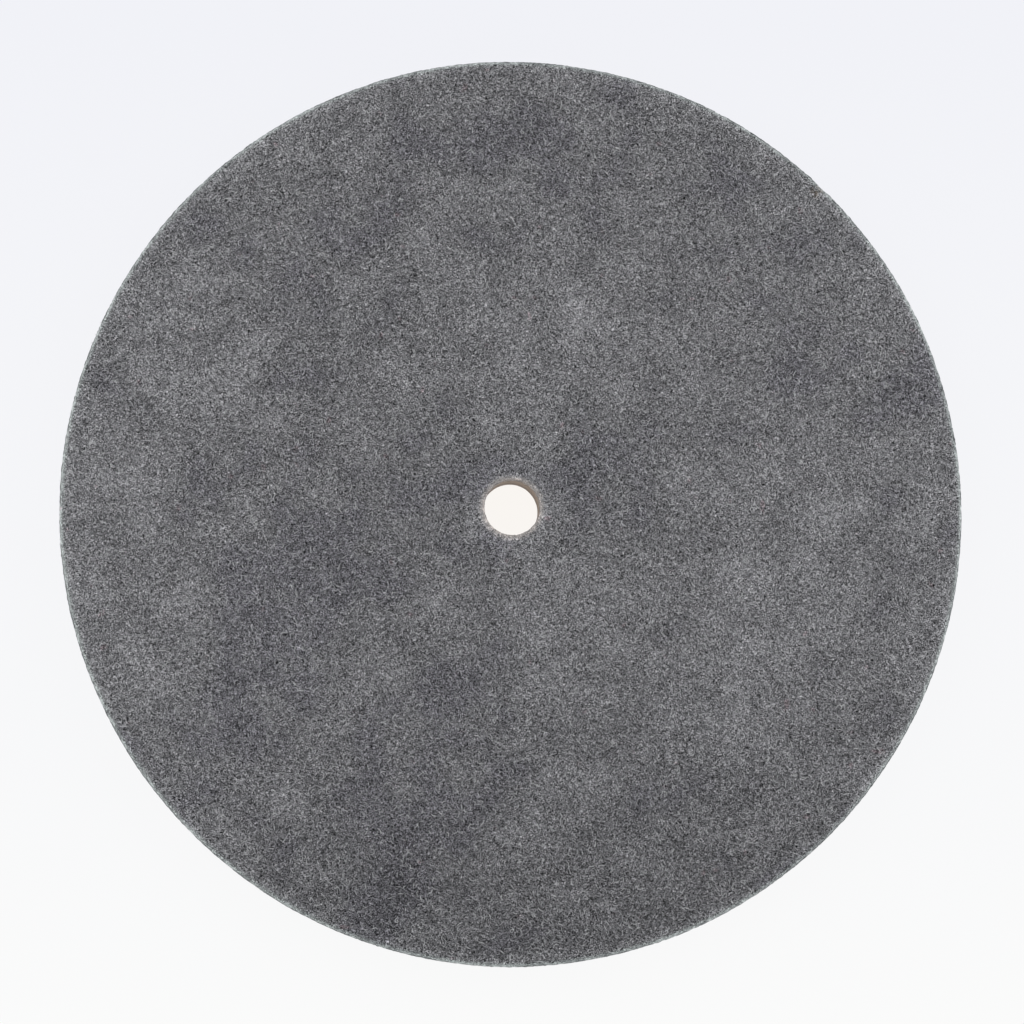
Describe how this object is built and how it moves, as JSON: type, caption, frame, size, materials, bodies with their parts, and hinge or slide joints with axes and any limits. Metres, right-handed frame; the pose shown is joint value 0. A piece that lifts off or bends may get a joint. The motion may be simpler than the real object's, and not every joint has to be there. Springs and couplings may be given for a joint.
{
  "type": "felt polishing wheel",
  "caption": "Round felt-faced polishing disc on a stiff board, with a plain centre bore for the arbor of a lapidary machine.",
  "frame": {"origin": "centre of the bore at the back face of the board", "axes": "+Z along the bore, out of the felt's polishing face; X and Y lie in the back face and are interchangeable"},
  "size_m": [0.2032, 0.2032, 0.0127],
  "materials": {
    "felt": "matte",
    "adhesive": "satin",
    "board": "matte"
  },
  "bodies": {
    "root": {"felt_pad": "felt", "adhesive_film": "adhesive", "backing_board": "board"}
  },
  "joints": []
}
